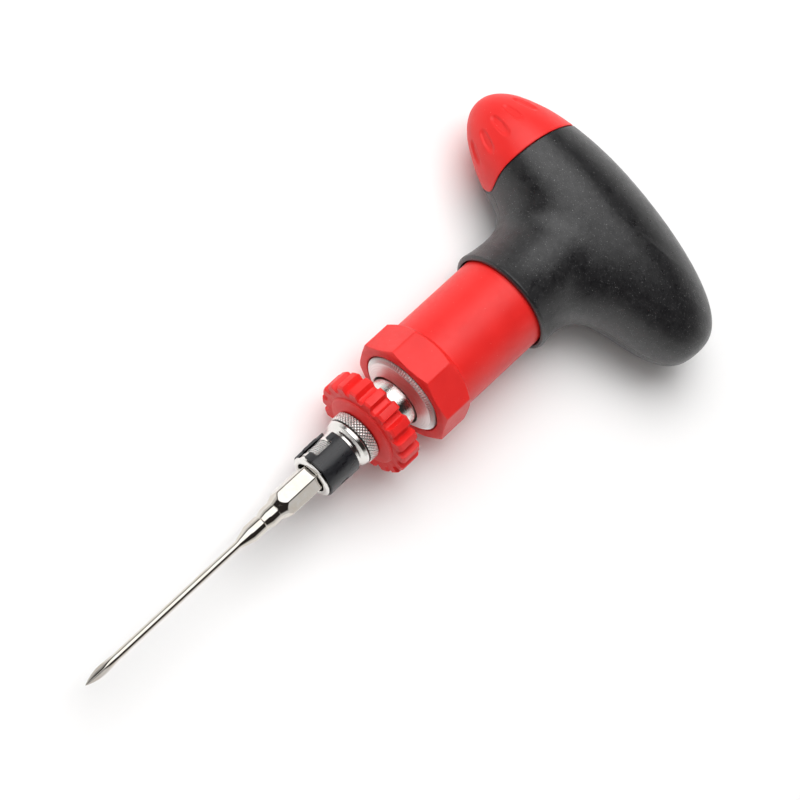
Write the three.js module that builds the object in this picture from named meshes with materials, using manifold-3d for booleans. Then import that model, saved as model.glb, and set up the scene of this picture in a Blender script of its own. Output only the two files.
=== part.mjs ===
// T-handle ratchet driver with a removable spear-point needle bit.
// Millimetres. The tool lies on its side: the shaft runs along Y with the point towards -Y,
// the T-bar runs along X with the red storage cap at -X, and Z is up.
// Each piece is drawn about the shaft axis, with y = 0 at the T-bar's axis, and the whole tool
// is then moved so that its box stands on the origin.
import * as THREE from 'three';
import { mergeVertices } from 'three/addons/utils/BufferGeometryUtils.js';
import { ConvexGeometry } from 'three/addons/geometries/ConvexGeometry.js';
import Module from 'manifold-3d';

const wasm = await Module();
wasm.setup();

// ---- driving dimensions ----
const GAP = 0.3; // between pieces that touch or run together
const ROUND = 40; // facets round the larger turned pieces
const FINE = 28; // facets round the smaller ones
const TINY = 14; // facets round pins and balls

const BAR_RADIUS = 15.2; // T-bar at the shaft axis, measured along Y
const BAR_FLATNESS = 0.97; // T-bar height over its depth
const BLACK_ARM = { length: 40, bluntness: 0.35 };
const RED_ARM = { length: 38.2, bluntness: 0.48 };
const NECK_RADIUS = 12.8;
const NECK_LIP_RADIUS = 13.8;
const NECK_WAIST_Y = -20;
const NECK_MOUTH_Y = -29.8;
const NECK_BORE_RADIUS = 12.5;
const BLACK_SIDE_FILLET = 20; // neck to bar, as the width of the melt
const RED_SIDE_FILLET = 10;
const TOP_FILLET = 3;
const MOUTH_CHAMFER = { radius: 13.15, depth: 1.1 };
const LAND_Z = -14.3; // flat land under the grip that the tool lies on
const RUBBER = 2.6; // rubber wall over the core

const PARTING_X = -22.6; // cap to grip, on top of the bar
const PARTING_SWEEP = 1.9; // how far the parting line falls back at the bar's edge
const PARTING_TILT = 0.15; // and how it leans towards the palm
const PARTING_HOOK = 2.2; // how far it bends back again beside the neck
const STORE_RADIUS = 7.2;
const STORE_END_X = 24;
const SPIGOT_RADIUS = 8.0;
const SPIGOT_END_X = -14.5;
const CAP_HOLLOW_RADIUS = 6.2;
const CAP_HOLLOW_X = -31;
const CAP_RECESSES = 12;
const RECESS_X = -31.1;
const RECESS_SWEEP = 1.6;
const RECESS_TURN = THREE.MathUtils.degToRad(4.5); // the first one, from straight up towards the palm
const SEAL_X = -18.2;

const COLLAR_FRONT_Y = -62.8; // octagon on the selector
const COLLAR_BACK_Y = -53.4;
const COLLAR_RADIUS = 14.0;
const COLLAR_TURN = THREE.MathUtils.degToRad(4.6); // a corner, from straight up towards +X
const BARREL_RADIUS = 12.1;
const BARREL_BORE = 9.9;
const BARREL_END_Y = -22.3;

const HOUSING_RADIUS = 9.6;
const HOUSING_FRONT_Y = -60.9;
const HOUSING_END_Y = -14.0;
const CHAMBER_RADIUS = 7.2;
const CAP_SOCKET_RADIUS = 8.7; // bore in the housing's front for the front cap's spigot
const CAP_SOCKET_Y = -55.9;
const FRONT_BUSH_RADIUS = 5.7;
const DETENT_Y = -53; // ball and spring that hold the selector's three positions
const DETENT_HOLE_RADIUS = 1.2;
const REAR_PLATE_END_Y = -34.5;
const CIRCLIP = { front: -32.5, back: -31.9 };
const GEAR_FRONT_Y = -49.9;
const GEAR_BACK_Y = -41.0;
const GEAR_TIP = 6.6;
const GEAR_ROOT = 5.6;
const GEAR_TEETH = 24;

const PAWL_PIVOT_RADIUS = 8.1;
const PAWL_PIVOT_ANGLE = THREE.MathUtils.degToRad(52); // from straight up, each side
const PAWL_TIP_ANGLE = THREE.MathUtils.degToRad(22.5); // a gap of the gear, when the pawl is in it
const PAWL_TIP_RADIUS = 6.0; // how deep the pawl's tooth goes into the gear
const PAWL_LIFT = THREE.MathUtils.degToRad(12); // from in the gear to clear of it

const SPINDLE_RADIUS = 6.3;
const SPINDLE_STEP_Y = -57.3; // shoulder that runs against the thrust washer
const SEAT_RADIUS = 5.0;
const JOURNAL_RADIUS = 4.2;
const TAIL_RADIUS = 3.0;

const RING_FRONT_Y = -76.9; // hub face of the spinner ring
const RING_TOOTH_FRONT_Y = -75.9;
const RING_BACK_Y = -70.2;
const RING_RADIUS = 12.8;
const RING_GAP_RADIUS = 11.3;
const RING_LIP_RADIUS = 9.3;
const RING_TEETH = 18;

const KNURL_RADIUS = 6.45;
const DRUM_RADIUS = 5.0;
const SLEEVE_RADIUS = 5.85;
const SLEEVE_FRONT_Y = -91.8;
const SLEEVE_BACK_Y = -82.8;
const SLEEVE_TURN = -4.5; // degrees
const NOSE_Y = -92.7;

const HEX_AF = 6.35; // quarter inch across flats
const HEX_TURN = THREE.MathUtils.degToRad(4.5);
const BIT_TIP_Y = -162.4;
const BIT_END_Y = -83.4;
const NEEDLE_RADIUS = 0.95;

// ---- materials ----
const paint = (color, roughness, metalness) =>
  new THREE.MeshStandardMaterial({ color, roughness, metalness });
const RED = paint(0xe8312c, 0.42, 0);
const BLACK_RUBBER = paint(0x3b3b3c, 0.85, 0);
const BLACK_OXIDE = paint(0x1d1e20, 0.35, 0.3);
const NICKEL = paint(0xd9d9d6, 0.16, 1);
const STEEL = paint(0xb3b3b0, 0.3, 1);
const ZINC = paint(0x9b9ca0, 0.45, 0.9);
const BRONZE = paint(0xb08d57, 0.4, 0.9);
const MAGNET = paint(0x4a4c50, 0.4, 0.6);
const SEAL = paint(0x141414, 0.7, 0);

// ---- solids ----
const COLLAPSE = 1e-4; // points nearer than this are one point

// A closed geometry as a solid, for joining and cutting.
function solid(geometry) {
  const bare = geometry.index ? geometry.toNonIndexed() : geometry.clone();
  for (const name of ['normal', 'uv']) bare.deleteAttribute(name);
  const merged = mergeVertices(bare, COLLAPSE);
  const index = merged.index.array;
  const kept = [];
  for (let i = 0; i < index.length; i += 3) {
    const [a, b, c] = [index[i], index[i + 1], index[i + 2]];
    if (a !== b && b !== c && c !== a) kept.push(a, b, c);
  }
  return new wasm.Manifold(
    new wasm.Mesh({
      numProp: 3,
      vertProperties: new Float32Array(merged.attributes.position.array),
      triVerts: new Uint32Array(kept),
    }),
  );
}

// A solid as a named mesh.
function piece(name, body, material) {
  const { vertProperties, triVerts } = body.getMesh();
  const geometry = new THREE.BufferGeometry();
  geometry.setAttribute('position', new THREE.BufferAttribute(vertProperties, 3));
  geometry.setIndex(new THREE.BufferAttribute(triVerts, 1));
  geometry.computeVertexNormals();
  const mesh = new THREE.Mesh(geometry, material);
  mesh.name = name;
  return mesh;
}

const joined = (...bodies) => bodies.reduce((all, body) => all.add(body));
const without = (body, ...cutters) => cutters.reduce((rest, cutter) => rest.subtract(cutter), body);

// Turned about Y from [radius, y] points that run from the point end towards the handle.
function turned(points, facets = ROUND) {
  const profile = points.map(([r, y]) => new THREE.Vector2(r, y));
  return solid(new THREE.LatheGeometry(profile, facets));
}

const rod = (radius, y0, y1, facets) => turned([[0, y0], [radius, y0], [radius, y1], [0, y1]], facets);

function tube(inner, outer, y0, y1, facets) {
  return turned([[inner, y0], [outer, y0], [outer, y1], [inner, y1], [inner, y0]], facets);
}

// A Shape in (x, z) made solid from y0 to y1.
function prism(shape, y0, y1, curveSegments = 6) {
  const geometry = new THREE.ExtrudeGeometry(shape, { depth: y1 - y0, bevelEnabled: false, curveSegments });
  geometry.rotateX(Math.PI / 2);
  geometry.translate(0, y1, 0);
  return solid(geometry);
}

// A point at a radius and an angle from straight up towards +X, as (x, z).
const polar = (radius, angle) => new THREE.Vector2(radius * Math.sin(angle), radius * Math.cos(angle));

function polygon(radius, sides, turn) {
  const corners = Array.from({ length: sides }, (_, i) => polar(radius, turn - (i * 2 * Math.PI) / sides));
  return new THREE.Shape(corners);
}

const hexagon = (acrossFlats) => polygon(acrossFlats / Math.sqrt(3), 6, HEX_TURN);

// A wedge of a ring between two angles, as a prism.
function sector(inner, outer, from, to, y0, y1, steps = 10) {
  const angles = Array.from({ length: steps + 1 }, (_, i) => from + ((to - from) * i) / steps);
  const outline = [
    ...angles.map((angle) => polar(inner, angle)),
    ...angles.reverse().map((angle) => polar(outer, angle)),
  ];
  return prism(new THREE.Shape(outline), y0, y1);
}

function ball(radius, x, y, z) {
  const geometry = new THREE.SphereGeometry(radius, TINY, TINY / 2);
  geometry.translate(x, y, z);
  return solid(geometry);
}

function crossRod(radius, x, z, y0, y1) {
  return rod(radius, y0, y1, TINY).translate([x, 0, z]);
}

class Helix extends THREE.Curve {
  constructor(radius, pitch, turns) {
    super();
    Object.assign(this, { radius, pitch, turns });
  }

  getPoint(t, target = new THREE.Vector3()) {
    const angle = 2 * Math.PI * this.turns * t;
    const { x, y: z } = polar(this.radius, angle);
    return target.set(x, this.pitch * this.turns * t, z);
  }
}

// A coil spring standing on y = 0 along Y.
function coil(radius, wire, pitch, turns, stepsPerTurn) {
  const section = polygon(wire, 6, 0);
  const path = new Helix(radius, pitch, turns);
  const steps = Math.round(turns * stepsPerTurn);
  return solid(new THREE.ExtrudeGeometry(section, { steps, extrudePath: path, bevelEnabled: false }));
}

// ---- grip surface ----
// Each form is a field that is negative inside. The bar and the neck melt together in a fillet.
function gripField({ barRadius, shorten, neckInset }) {
  return (x, y, z) => {
    const arm = x > 0 ? BLACK_ARM : RED_ARM;
    const reach = Math.abs(x) / (arm.length - shorten);
    const radius = reach < 1 ? barRadius * (1 - reach * reach) ** arm.bluntness : (1 - reach) * arm.length;
    const bar = Math.hypot(y, z / BAR_FLATNESS) - radius;
    const towardsMouth = Math.max(0, (NECK_WAIST_Y - y) / (NECK_WAIST_Y - NECK_MOUTH_Y));
    const neckRadius = NECK_RADIUS + (NECK_LIP_RADIUS - NECK_RADIUS) * towardsMouth ** 2 - neckInset;
    const around = Math.hypot(x, z);
    const neck = Math.max(around - neckRadius, y);
    const sideFillet = x > 0 ? BLACK_SIDE_FILLET : RED_SIDE_FILLET;
    const fillet = TOP_FILLET + (sideFillet - TOP_FILLET) * (x / Math.max(around, COLLAPSE)) ** 2;
    const blend = Math.max(fillet - Math.abs(bar - neck), 0) / fillet;
    return Math.min(bar, neck) - (blend ** 3 * fillet) / 6;
  };
}

// The surface where the field is zero, found outwards from the middle of the T.
function grown(field, detail) {
  const geometry = new THREE.IcosahedronGeometry(1, detail);
  const position = geometry.attributes.position;
  const way = new THREE.Vector3();
  for (let i = 0; i < position.count; i += 1) {
    way.fromBufferAttribute(position, i).normalize();
    let [inside, outside] = [1, 60];
    for (let step = 0; step < 30; step += 1) {
      const middle = (inside + outside) / 2;
      if (field(way.x * middle, way.y * middle, way.z * middle) < 0) inside = middle;
      else outside = middle;
    }
    position.setXYZ(i, way.x * inside, way.y * inside, way.z * inside);
  }
  return solid(geometry);
}

// Everything on the handle's side of the saddle-shaped parting line, moved along X by offset.
function gripSide(offset) {
  const steps = 32;
  const far = 60;
  const halfDepth = 20;
  const outline = [new THREE.Vector2(far, -halfDepth), new THREE.Vector2(far, halfDepth)];
  for (let i = 0; i <= steps; i += 1) {
    const y = halfDepth - (2 * halfDepth * i) / steps;
    const out = y / (BAR_RADIUS * 0.85);
    const hook = PARTING_HOOK * Math.min(Math.max(-out, 0), 1.05) ** 8;
    const x = PARTING_X + PARTING_TILT * y + PARTING_SWEEP * out ** 2 + hook;
    outline.push(new THREE.Vector2(x + offset, y));
  }
  const shape = new THREE.Shape(outline);
  const geometry = new THREE.ExtrudeGeometry(shape, { depth: 2 * far, bevelEnabled: false });
  geometry.translate(0, 0, -far);
  return solid(geometry).add(beyondMouth(-halfDepth, far));
}

// Everything on the point's side of y, as far as the grip could reach.
function beyondMouth(y, far) {
  const geometry = new THREE.BoxGeometry(2 * far, far, 2 * far);
  geometry.translate(0, y - far / 2, 0);
  return solid(geometry);
}

// A rod along X.
function barRod(radius, x0, x1, facets = FINE) {
  return rod(radius, 0, x1 - x0, facets).rotate([0, 0, -90]).translate([x0, 0, 0]);
}

// Everything behind the plane at y, out to the palm.
function behind(y) {
  const geometry = new THREE.BoxGeometry(100, 60, 60);
  geometry.translate(0, y + 30, 0);
  return solid(geometry);
}

// Everything above the land that the tool lies on.
function aboveLand() {
  const geometry = new THREE.BoxGeometry(200, 200, 60);
  geometry.translate(0, 0, LAND_Z + 30);
  return solid(geometry);
}

function gripPieces() {
  const skin = grown(gripField({ barRadius: BAR_RADIUS, shorten: 0, neckInset: 0 }), 11)
    .intersect(behind(NECK_MOUTH_Y))
    .intersect(aboveLand());
  const pocketField = { barRadius: BAR_RADIUS - RUBBER, shorten: RUBBER, neckInset: 0.5 + GAP };
  const coreField = { barRadius: BAR_RADIUS - RUBBER - GAP, shorten: RUBBER + GAP, neckInset: 0.8 + GAP };
  const coreEnd = behind(BARREL_END_Y + GAP);
  const pocket = grown(gripField(pocketField), 7).intersect(behind(BARREL_END_Y));
  const neckBore = turned([
    [0, NECK_MOUTH_Y - 1],
    [MOUTH_CHAMFER.radius, NECK_MOUTH_Y - 1],
    [MOUTH_CHAMFER.radius, NECK_MOUTH_Y],
    [NECK_BORE_RADIUS, NECK_MOUTH_Y + MOUTH_CHAMFER.depth],
    [NECK_BORE_RADIUS, BARREL_END_Y + 2 * GAP],
    [0, BARREL_END_Y + 2 * GAP],
  ]);
  const rubber = without(skin.intersect(gripSide(GAP / 2)), pocket, neckBore);

  const store = barRod(STORE_RADIUS, SPIGOT_END_X, STORE_END_X);
  const mouth = barRod(SPIGOT_RADIUS + 2 * GAP, PARTING_X - 5, SPIGOT_END_X + GAP);
  const socket = rod(HOUSING_RADIUS + GAP, BARREL_END_Y, HOUSING_END_Y + GAP);
  const coreBody = grown(gripField(coreField), 7).intersect(gripSide(GAP / 2)).intersect(coreEnd);
  const core = without(coreBody, store, mouth, socket);

  const dome = without(skin, gripSide(-GAP / 2));
  const spigot = barRod(SPIGOT_RADIUS, PARTING_X - 4, SPIGOT_END_X - GAP);
  const sealGroove = without(
    barRod(SPIGOT_RADIUS + 1, SEAL_X - 0.7, SEAL_X + 0.7),
    barRod(SPIGOT_RADIUS - 0.7, SEAL_X - 1, SEAL_X + 1),
  );
  const hollow = barRod(CAP_HOLLOW_RADIUS, CAP_HOLLOW_X, 0);
  const cap = without(dome.add(spigot), sealGroove, hollow, ...capRecesses());

  const seal = tube(SPIGOT_RADIUS - 0.5, SPIGOT_RADIUS + 0.4, -0.5, 0.5, FINE)
    .rotate([0, 0, 90])
    .translate([SEAL_X, 0, 0]);
  return {
    rubber: piece('rubber_grip', rubber, BLACK_RUBBER),
    core: piece('handle_core', core, RED),
    cap: piece('storage_cap', cap, RED),
    seal: piece('cap_seal', seal, SEAL),
  };
}

// Shallow finger recesses round the dome, following the parting line.
function capRecesses() {
  const length = 6.4;
  const width = 1.9;
  const depth = 0.45;
  const field = gripField({ barRadius: BAR_RADIUS, shorten: 0, neckInset: 0 });
  return Array.from({ length: CAP_RECESSES }, (_, i) => {
    const angle = RECESS_TURN + (i * 2 * Math.PI) / CAP_RECESSES;
    const across = Math.sin(angle);
    const x = RECESS_X + RECESS_SWEEP * across * across;
    let radius = BAR_RADIUS;
    while (field(x, radius * across, radius * Math.cos(angle)) > 0) radius -= 0.02;
    const geometry = new THREE.SphereGeometry(1, 10, 6);
    geometry.scale(length / 2, width / 2, depth);
    geometry.rotateY(-THREE.MathUtils.degToRad(27));
    geometry.translate(x, 0, radius);
    geometry.rotateX(-angle);
    return solid(geometry);
  });
}

// ---- ratchet inside the barrel ----
function selectorSleeve() {
  const faceRadius = 12.75;
  const octagon = prism(polygon(COLLAR_RADIUS, 8, COLLAR_TURN), COLLAR_FRONT_Y, COLLAR_BACK_Y);
  const edges = turned([
    [0, COLLAR_FRONT_Y],
    [faceRadius, COLLAR_FRONT_Y],
    [COLLAR_RADIUS + 0.15, COLLAR_FRONT_Y + 0.6],
    [COLLAR_RADIUS + 0.15, COLLAR_BACK_Y - 1.6],
    [BARREL_RADIUS, COLLAR_BACK_Y],
    [0, COLLAR_BACK_Y],
  ]);
  const barrel = rod(BARREL_RADIUS, COLLAR_BACK_Y - 1, BARREL_END_Y);
  const bore = rod(BARREL_BORE, COLLAR_FRONT_Y - 1, BARREL_END_Y + 1);
  const capSeat = rod(10.5 + GAP, COLLAR_FRONT_Y - 1, HOUSING_FRONT_Y);
  const detentTrack = tube(BARREL_BORE - 1, BARREL_BORE + 0.5, DETENT_Y - 1.2, DETENT_Y + 1.2);
  const pockets = [-20, 0, 20].map((degrees) => {
    const place = polar(9.75, THREE.MathUtils.degToRad(180 + degrees));
    return ball(1.25, place.x, DETENT_Y, place.y);
  });
  const body = without(octagon.intersect(edges).add(barrel), bore, capSeat, detentTrack, ...pockets);
  return piece('selector_sleeve', body, RED);
}

const pawlPivot = (side) => polar(PAWL_PIVOT_RADIUS, side * PAWL_PIVOT_ANGLE);

// A pawl's arm and tooth, drawn with the tooth in the gear and then lifted clear of it.
function pawlOutline(side) {
  const pivot = pawlPivot(side);
  const corners = [
    [PAWL_TIP_RADIUS, -0.012],
    [GEAR_TIP + 0.1, -0.055],
    [GEAR_TIP + 0.7, -0.045],
    [PAWL_PIVOT_RADIUS + 0.8, 0.48],
    [PAWL_PIVOT_RADIUS - 0.8, 0.5],
    [GEAR_TIP + 0.2, 0.075],
    [PAWL_TIP_RADIUS, 0.012],
  ];
  return corners.map(([radius, beyondTip]) =>
    polar(radius, side * (PAWL_TIP_ANGLE + beyondTip)).rotateAround(pivot, -side * PAWL_LIFT));
}

function pawlPieces(letter, side) {
  const { x, y: z } = pawlPivot(side);
  const arm = prism(new THREE.Shape(pawlOutline(side)), GEAR_FRONT_Y + 0.6, GEAR_BACK_Y - 0.6);
  const eye = crossRod(0.95, x, z, GEAR_FRONT_Y + 0.6, GEAR_BACK_Y - 0.6);
  const hole = crossRod(0.65, x, z, GEAR_FRONT_Y - 1, GEAR_BACK_Y + 1);
  const pin = crossRod(0.5, x, z, GEAR_FRONT_Y - 1.5, GEAR_BACK_Y + 1.5);
  return {
    pawl: piece(`pawl_${letter}`, joined(arm, eye).subtract(hole), STEEL),
    pin: piece(`pawl_pin_${letter}`, pin, STEEL),
  };
}

function ratchetHousing() {
  const outside = rod(HOUSING_RADIUS, HOUSING_FRONT_Y, HOUSING_END_Y);
  const cuts = [
    rod(CAP_SOCKET_RADIUS, HOUSING_FRONT_Y - 1, CAP_SOCKET_Y),
    rod(FRONT_BUSH_RADIUS + GAP, CAP_SOCKET_Y - 1, GEAR_FRONT_Y),
    rod(CHAMBER_RADIUS, GEAR_FRONT_Y - GAP, HOUSING_END_Y - 12),
    tube(9.0, HOUSING_RADIUS + 1, -46.0, -44.9),
    rod(DETENT_HOLE_RADIUS, 0, 12, TINY).rotate([90, 0, 0]).translate([0, DETENT_Y, -HOUSING_RADIUS - 8.8]),
  ];
  for (const side of [-1, 1]) {
    const { x, y: z } = pawlPivot(side);
    const ends = [side * (PAWL_PIVOT_ANGLE - 0.76), side * (PAWL_PIVOT_ANGLE + 0.24)].sort((a, b) => a - b);
    cuts.push(sector(CHAMBER_RADIUS - 1, HOUSING_RADIUS + 1, ...ends, GEAR_FRONT_Y + GAP, GEAR_BACK_Y - GAP));
    cuts.push(crossRod(0.7, x, z, GEAR_FRONT_Y - 1.8, GEAR_BACK_Y + 1.8));
  }
  return piece('ratchet_housing', without(outside, ...cuts), ZINC);
}

function ratchetGear() {
  const outline = new THREE.Shape();
  const pitch = (2 * Math.PI) / GEAR_TEETH;
  for (let i = 0; i < GEAR_TEETH; i += 1) {
    const at = -i * pitch;
    const corners = [
      [GEAR_ROOT, 0.42],
      [GEAR_TIP, 0.2],
      [GEAR_TIP, -0.2],
      [GEAR_ROOT, -0.42],
    ];
    for (const [radius, share] of corners) {
      const point = polar(radius, at + share * pitch);
      if (i === 0 && share === 0.42) outline.moveTo(point.x, point.y);
      else outline.lineTo(point.x, point.y);
    }
  }
  const blank = prism(outline, GEAR_FRONT_Y, GEAR_BACK_Y);
  const bore = flattedRod(JOURNAL_RADIUS + GAP, 3.6 + GAP, GEAR_FRONT_Y - 1, GEAR_BACK_Y + 1);
  return piece('ratchet_gear', blank.subtract(bore), STEEL);
}

// A rod with two flats, at +X and -X.
function flattedRod(radius, flat, y0, y1) {
  const across = new THREE.Shape([
    new THREE.Vector2(-flat, -radius - 1),
    new THREE.Vector2(flat, -radius - 1),
    new THREE.Vector2(flat, radius + 1),
    new THREE.Vector2(-flat, radius + 1),
  ]);
  return rod(radius, y0, y1, FINE).intersect(prism(across, y0 - 1, y1 + 1));
}

function pawlSpring() {
  const wire = tube(9.25, 9.65, -45.65, -45.25);
  const opening = sector(8, 11, Math.PI - 0.25, Math.PI + 0.25, -47, -44);
  return piece('pawl_spring', wire.subtract(opening), STEEL);
}

function bearingPieces() {
  const frontCap = turned([
    [6.65, -65.1],
    [9.25, -63.6],
    [10.5, COLLAR_FRONT_Y],
    [10.5, HOUSING_FRONT_Y - GAP],
    [8.4, HOUSING_FRONT_Y - GAP],
    [8.4, SPINDLE_STEP_Y - GAP],
    [6.65, SPINDLE_STEP_Y - GAP],
    [6.65, -65.1],
  ]);
  const rearPlate = tube(5.3, CHAMBER_RADIUS - GAP, GEAR_BACK_Y + GAP, REAR_PLATE_END_Y);
  const rearBush = tube(TAIL_RADIUS + GAP, 5.0, GEAR_BACK_Y + GAP, REAR_PLATE_END_Y + 0.5, FINE);
  const circlip = tube(2.75, 4.3, CIRCLIP.front, CIRCLIP.back, FINE);
  const circlipMouth = sector(1, 6, -0.35, 0.35, CIRCLIP.front - 1, CIRCLIP.back + 1, 3);
  const thrustWasher = tube(JOURNAL_RADIUS + GAP, 8.3, SPINDLE_STEP_Y + GAP, CAP_SOCKET_Y - GAP);
  const frontBush = tube(JOURNAL_RADIUS + GAP, FRONT_BUSH_RADIUS, CAP_SOCKET_Y, GEAR_FRONT_Y - GAP, FINE);
  return [
    piece('front_cap', frontCap, NICKEL),
    piece('thrust_washer', thrustWasher, STEEL),
    piece('front_bush', frontBush, BRONZE),
    piece('rear_plate', rearPlate, ZINC),
    piece('rear_bush', rearBush, BRONZE),
    piece('spindle_circlip', circlip.subtract(circlipMouth), STEEL),
  ];
}

function detentPieces() {
  const spring = coil(0.7, 0.13, 0.5, 3, 10).rotate([-90, 0, 0]).translate([0, DETENT_Y, -6.45]);
  return [
    piece('detent_ball', ball(1.0, 0, DETENT_Y, -9.1), STEEL),
    piece('detent_spring', spring, STEEL),
  ];
}

// ---- spindle and chuck ----
function spindle() {
  const stubHole = rod(3.3, -81, -73.5, FINE);
  const shaft = turned([
    [0, -79.7],
    [SEAT_RADIUS, -79.7],
    [SEAT_RADIUS, RING_BACK_Y + GAP],
    [SPINDLE_RADIUS, RING_BACK_Y + GAP],
    [SPINDLE_RADIUS, SPINDLE_STEP_Y],
    [JOURNAL_RADIUS, SPINDLE_STEP_Y],
    [JOURNAL_RADIUS, GEAR_FRONT_Y],
    [0, GEAR_FRONT_Y],
  ]);
  const gearSeat = flattedRod(JOURNAL_RADIUS, 3.6, GEAR_FRONT_Y - 0.5, GEAR_BACK_Y);
  const tail = turned([
    [0, GEAR_BACK_Y - 0.5],
    [TAIL_RADIUS, GEAR_BACK_Y - 0.5],
    [TAIL_RADIUS, CIRCLIP.front - GAP],
    [2.45, CIRCLIP.front - GAP],
    [2.45, CIRCLIP.back + GAP],
    [TAIL_RADIUS, CIRCLIP.back + GAP],
    [TAIL_RADIUS - 0.4, -30.6],
    [0, -30.6],
  ], FINE);
  return piece('spindle', joined(shaft, gearSeat, tail).subtract(stubHole), NICKEL);
}

function spinnerRing() {
  const outline = new THREE.Shape();
  const pitch = (2 * Math.PI) / RING_TEETH;
  const corners = [
    [RING_GAP_RADIUS, 0.5],
    [RING_GAP_RADIUS + 0.15, 0.4],
    [RING_RADIUS - 0.35, 0.31],
    [RING_RADIUS, 0.24],
    [RING_RADIUS, -0.24],
    [RING_RADIUS - 0.35, -0.31],
    [RING_GAP_RADIUS + 0.15, -0.4],
  ];
  for (let i = 0; i < RING_TEETH; i += 1) {
    corners.forEach(([radius, share], j) => {
      const point = polar(radius, (share - i) * pitch);
      if (i + j === 0) outline.moveTo(point.x, point.y);
      else outline.lineTo(point.x, point.y);
    });
  }
  const toothed = prism(outline, RING_TOOTH_FRONT_Y, RING_BACK_Y);
  const chamfered = turned([
    [0, RING_FRONT_Y - 1],
    [RING_RADIUS - 0.5, RING_TOOTH_FRONT_Y],
    [RING_RADIUS + 0.1, RING_TOOTH_FRONT_Y + 0.6],
    [RING_RADIUS + 0.1, RING_BACK_Y - 0.6],
    [RING_RADIUS - 0.5, RING_BACK_Y],
    [0, RING_BACK_Y],
  ], 2 * ROUND);
  const hub = turned([
    [0, RING_FRONT_Y],
    [6.4, RING_FRONT_Y],
    [RING_LIP_RADIUS - 0.4, RING_TOOTH_FRONT_Y - 0.35],
    [RING_LIP_RADIUS, RING_TOOTH_FRONT_Y - 0.1],
    [RING_LIP_RADIUS, RING_BACK_Y],
    [0, RING_BACK_Y],
  ]);
  const bore = rod(SEAT_RADIUS + GAP, RING_FRONT_Y - 1, RING_BACK_Y + 1);
  return piece('spinner_ring', toothed.intersect(chamfered).add(hub).subtract(bore), RED);
}

function bitSocket() {
  const recess = [-89.6, -85.2];
  const body = turned([
    [0, -90.7],
    [DRUM_RADIUS, -90.7],
    [DRUM_RADIUS, recess[0]],
    [4.2, recess[0]],
    [4.2, recess[1]],
    [DRUM_RADIUS, recess[1]],
    [DRUM_RADIUS, -81.7],
    [5.5, -81.4],
    [6.0, -80.9],
    [6.3, -80.0],
    [3.0, -80.0],
    [3.0, -74.0],
    [0, -74.0],
  ]);
  const hexBore = prism(hexagon(HEX_AF + 1.6 * GAP), -95, -83.1);
  const magnetPocket = rod(3.2, -84, -80.8, FINE);
  const flat = polar(1, HEX_TURN + Math.PI / 6 + Math.PI);
  const ballHole = rod(1.0, 2.5, 7, TINY)
    .rotate([90, 0, 0])
    .rotate([0, THREE.MathUtils.radToDeg(Math.atan2(flat.x, flat.y)), 0])
    .translate([0, -84.3, 0]);
  return piece('bit_socket', without(body, hexBore, magnetPocket, ballHole), NICKEL);
}

function chuckPieces() {
  const noseRing = turned([
    [3.95, NOSE_Y],
    [4.7, NOSE_Y],
    [5.25, NOSE_Y + 0.25],
    [5.4, NOSE_Y + 0.6],
    [4.95, NOSE_Y + 0.6],
    [4.95, -91.0],
    [3.95, -91.0],
    [3.95, NOSE_Y],
  ]);
  const lockBall = polar(4.15, HEX_TURN + Math.PI / 6 + Math.PI);
  const returnSpring = coil(4.72, 0.21, 0.5, 8, 11).translate([0, -89.4, 0]);
  return [
    piece('nose_ring', noseRing, NICKEL),
    piece('bit_magnet', rod(2.9, -83.1, -81.1, FINE), MAGNET),
    piece('lock_ball', ball(0.75, lockBall.x, -84.3, lockBall.y), STEEL),
    piece('sleeve_spring', returnSpring, STEEL),
    piece('knurled_collar', knurledCollar(), NICKEL),
  ];
}

function knurledCollar() {
  const ridges = 36;
  const outline = new THREE.Shape();
  for (let i = 0; i < 2 * ridges; i += 1) {
    const point = polar(i % 2 ? KNURL_RADIUS - 0.25 : KNURL_RADIUS, (-i * Math.PI) / ridges);
    if (i === 0) outline.moveTo(point.x, point.y);
    else outline.lineTo(point.x, point.y);
  }
  return prism(outline, -79.7, -77.2).subtract(rod(SEAT_RADIUS + GAP, -81, -76));
}

// A split sleeve: a tongue on one end points at a notch in the other, and a window faces away.
function releaseSleeve() {
  const shell = tube(DRUM_RADIUS + GAP, SLEEVE_RADIUS, SLEEVE_FRONT_Y, SLEEVE_BACK_Y);
  const [tongueFront, tongueBack] = [-89.5, -85.3];
  const cut = (from, to, y0, y1) => {
    const [start, end] = [from, to].map((degrees) => THREE.MathUtils.degToRad(degrees + SLEEVE_TURN));
    return sector(4, 7, start, end, y0, y1);
  };
  const gap = cut(-100, -49, SLEEVE_FRONT_Y - 1, SLEEVE_BACK_Y + 1);
  const notch = cut(-52, -27, tongueFront - GAP, tongueBack + GAP);
  const windowOpening = cut(72, 96, -88.7, -86.2);
  const tongue = cut(-102, -88, tongueFront, tongueBack).intersect(shell);
  return piece('release_sleeve', without(shell, gap, notch, windowOpening).add(tongue), BLACK_OXIDE);
}

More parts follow.
